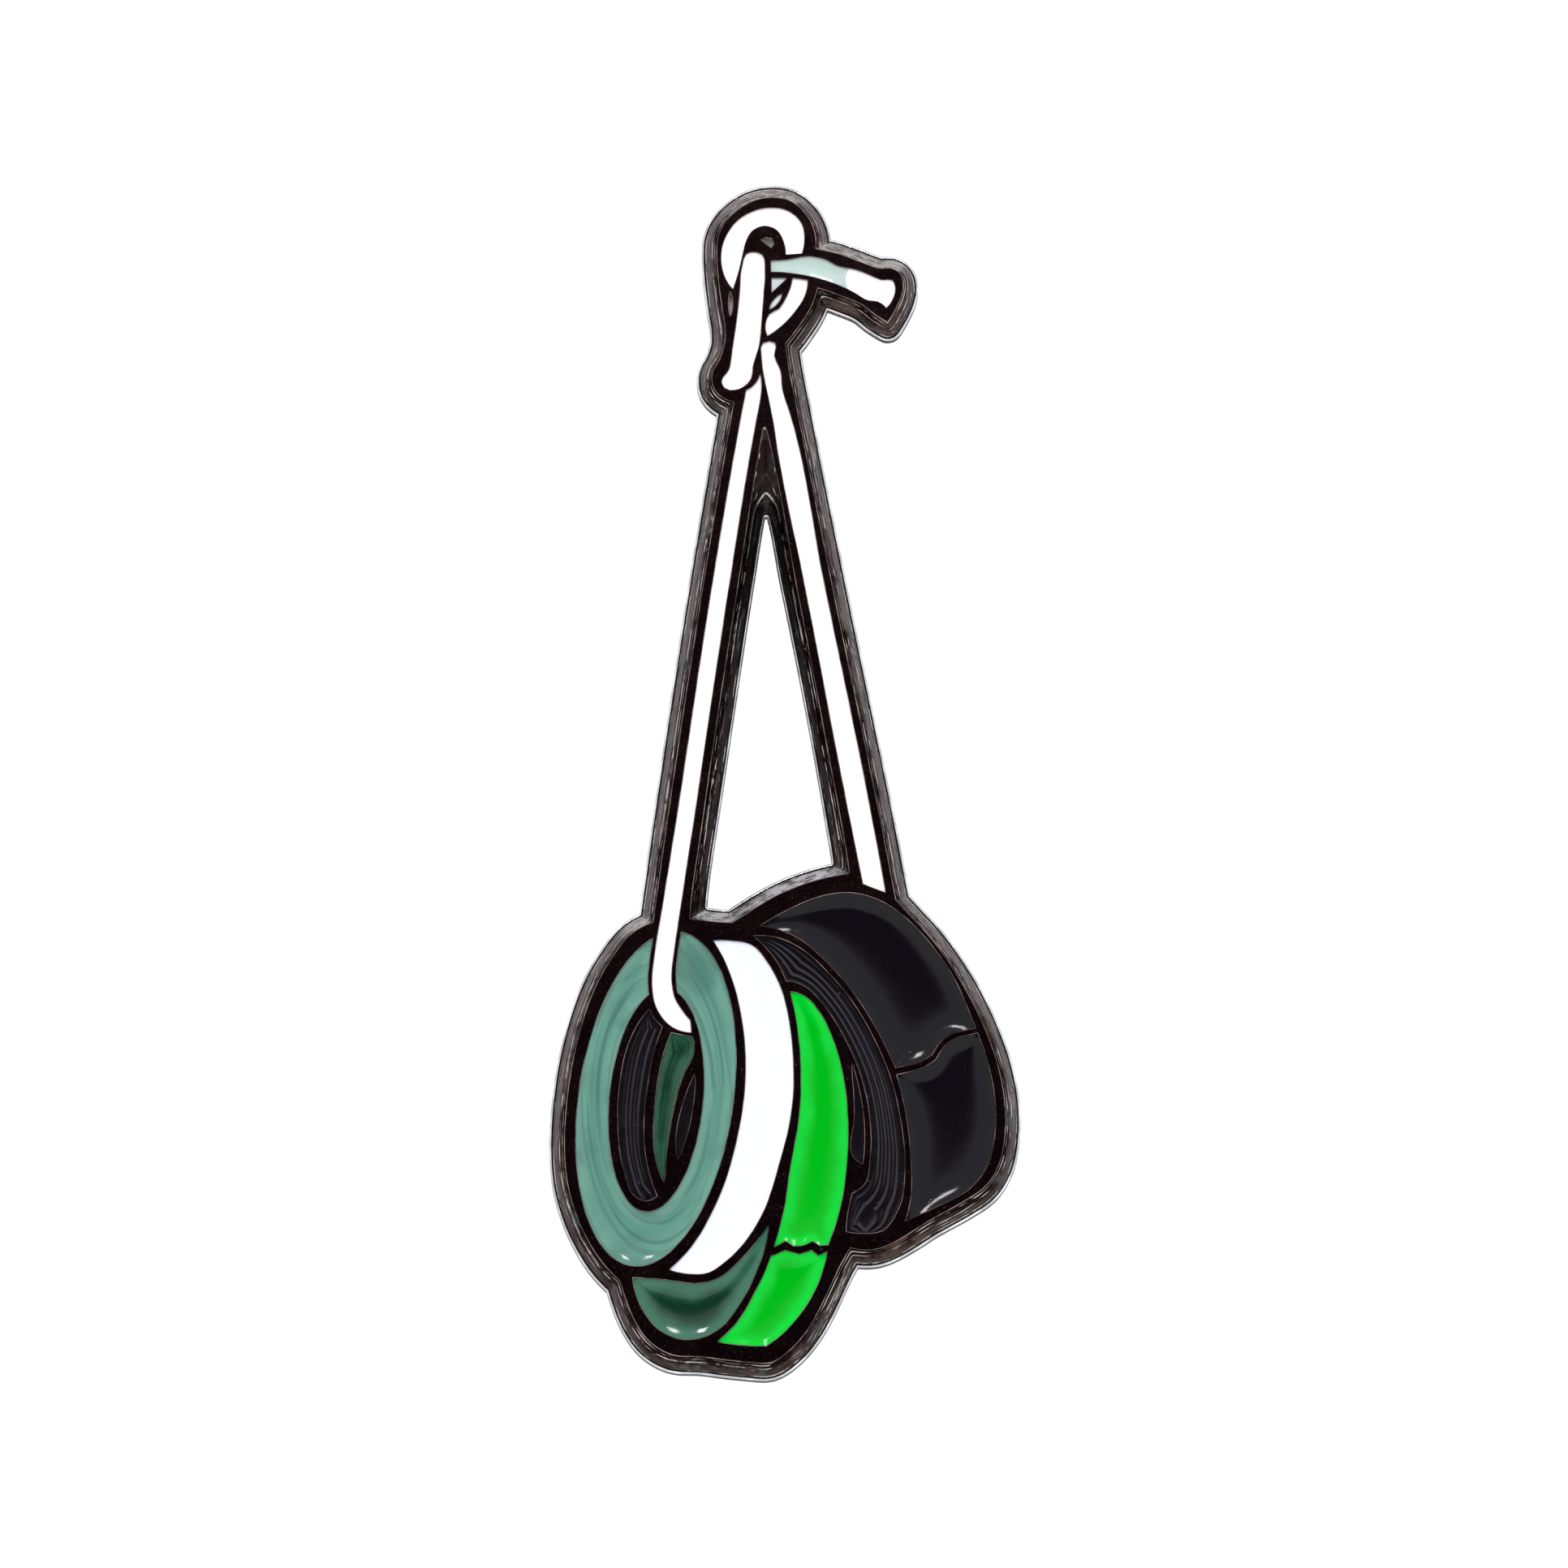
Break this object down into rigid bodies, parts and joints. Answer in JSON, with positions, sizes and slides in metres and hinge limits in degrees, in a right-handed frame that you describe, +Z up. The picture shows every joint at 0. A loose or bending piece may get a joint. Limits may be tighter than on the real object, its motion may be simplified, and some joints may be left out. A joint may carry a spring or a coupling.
{
  "type": "enamel lapel pin",
  "caption": "Metal lapel badge with recessed enamel picture of tape rolls hung on a knotted cord, held through cloth by rear posts and butterfly clutches.",
  "frame": {"origin": "on the badge's flat back face, midway between the two posts", "axes": "+Z up the badge's long axis, -Y out of its enamelled front, +Y along the posts towards the wearer, +X to the viewer's right seen from the front"},
  "size_m": [0.0218, 0.0103, 0.0557],
  "materials": {
    "black_nickel": "die-struck, black nickel plated, polished lines and slightly grainy sloped edge",
    "enamel_white": "glossy soft enamel, white",
    "enamel_pale_grey": "glossy soft enamel, pale grey green",
    "enamel_sage": "glossy soft enamel, sage green",
    "enamel_ice_white": "glossy soft enamel, bluish white",
    "enamel_black": "glossy soft enamel, black",
    "enamel_forest_green": "glossy soft enamel, forest green",
    "enamel_dark_green": "glossy soft enamel, dark green",
    "enamel_bright_green": "glossy soft enamel, bright green",
    "nickel_post": "nickel plated, turned",
    "nickel_clutch": "nickel plated, stamped sheet",
    "spring_steel": "plain spring steel"
  },
  "bodies": {
    "badge": {"base": "black_nickel", "ring_top_enamel": "enamel_white", "ring_side_enamel": "enamel_white", "ring_sliver_enamel": "enamel_pale_grey", "ring_web_enamel": "enamel_pale_grey", "cord_tail_enamel": "enamel_white", "cord_end_grey_enamel": "enamel_pale_grey", "cord_end_white_enamel": "enamel_white", "left_cord_enamel": "enamel_white", "right_cord_enamel": "enamel_white", "front_roll_face_enamel": "enamel_sage", "front_roll_side_enamel": "enamel_ice_white", "front_roll_bore_enamel": "enamel_black", "middle_roll_bore_enamel": "enamel_forest_green", "back_roll_glimpse_enamel": "enamel_black", "middle_roll_face_enamel": "enamel_dark_green", "middle_roll_side_enamel": "enamel_bright_green", "middle_roll_tape_end_enamel": "enamel_bright_green", "black_roll_face_enamel": "enamel_black", "black_roll_bore_enamel": "enamel_black", "black_roll_side_enamel": "enamel_black", "black_roll_tape_end_enamel": "enamel_black", "post_left": "nickel_post", "post_right": "nickel_post"},
    "left_clutch_base": {"clutch_base_left": "nickel_clutch"},
    "left_clutch_cap": {"clutch_cap_left": "nickel_clutch", "clutch_spring_left": "spring_steel"},
    "left_upper_wing": {"clutch_upper_wing_left": "nickel_clutch"},
    "left_lower_wing": {"clutch_lower_wing_left": "nickel_clutch"},
    "right_clutch_base": {"clutch_base_right": "nickel_clutch"},
    "right_clutch_cap": {"clutch_cap_right": "nickel_clutch", "clutch_spring_right": "spring_steel"},
    "right_upper_wing": {"clutch_upper_wing_right": "nickel_clutch"},
    "right_lower_wing": {"clutch_lower_wing_right": "nickel_clutch"}
  },
  "joints": [
    {"name": "left_clutch_pull_off", "type": "slide", "parent": "badge", "child": "left_clutch_base", "axis": [0, 1, 0], "range_m": [-0.0004, 0.009]},
    {"name": "left_clutch_spin", "type": "hinge", "parent": "left_clutch_base", "child": "left_clutch_cap", "pos_m": [-0.00476, 0.0021, -0.00222], "axis": [0, 1, 0], "continuous": true},
    {"name": "left_upper_wing_squeeze", "type": "hinge", "parent": "left_clutch_cap", "child": "left_upper_wing", "pos_m": [-0.00476, 0.00422, 0.00038], "axis": [-1, 0, 0], "range_deg": [0, 8], "stiffness_Nm_per_rad": 0.005},
    {"name": "left_lower_wing_squeeze", "type": "hinge", "parent": "left_clutch_cap", "child": "left_lower_wing", "pos_m": [-0.00476, 0.00422, -0.00482], "axis": [1, 0, 0], "range_deg": [0, 8]},
    {"name": "right_clutch_pull_off", "type": "slide", "parent": "badge", "child": "right_clutch_base", "axis": [0, 1, 0], "range_m": [-0.0004, 0.009]},
    {"name": "right_clutch_spin", "type": "hinge", "parent": "right_clutch_base", "child": "right_clutch_cap", "pos_m": [0.00476, 0.0021, 0.00222], "axis": [0, 1, 0], "continuous": true},
    {"name": "right_upper_wing_squeeze", "type": "hinge", "parent": "right_clutch_cap", "child": "right_upper_wing", "pos_m": [0.00476, 0.00422, 0.00482], "axis": [-1, 0, 0], "range_deg": [0, 8], "stiffness_Nm_per_rad": 0.005},
    {"name": "right_lower_wing_squeeze", "type": "hinge", "parent": "right_clutch_cap", "child": "right_lower_wing", "pos_m": [0.00476, 0.00422, -0.00038], "axis": [1, 0, 0], "range_deg": [0, 8]}
  ],
  "couplings": [
    {"joint": "left_lower_wing_squeeze", "follows": "left_upper_wing_squeeze", "ratio": 1},
    {"joint": "right_lower_wing_squeeze", "follows": "right_upper_wing_squeeze", "ratio": 1}
  ]
}
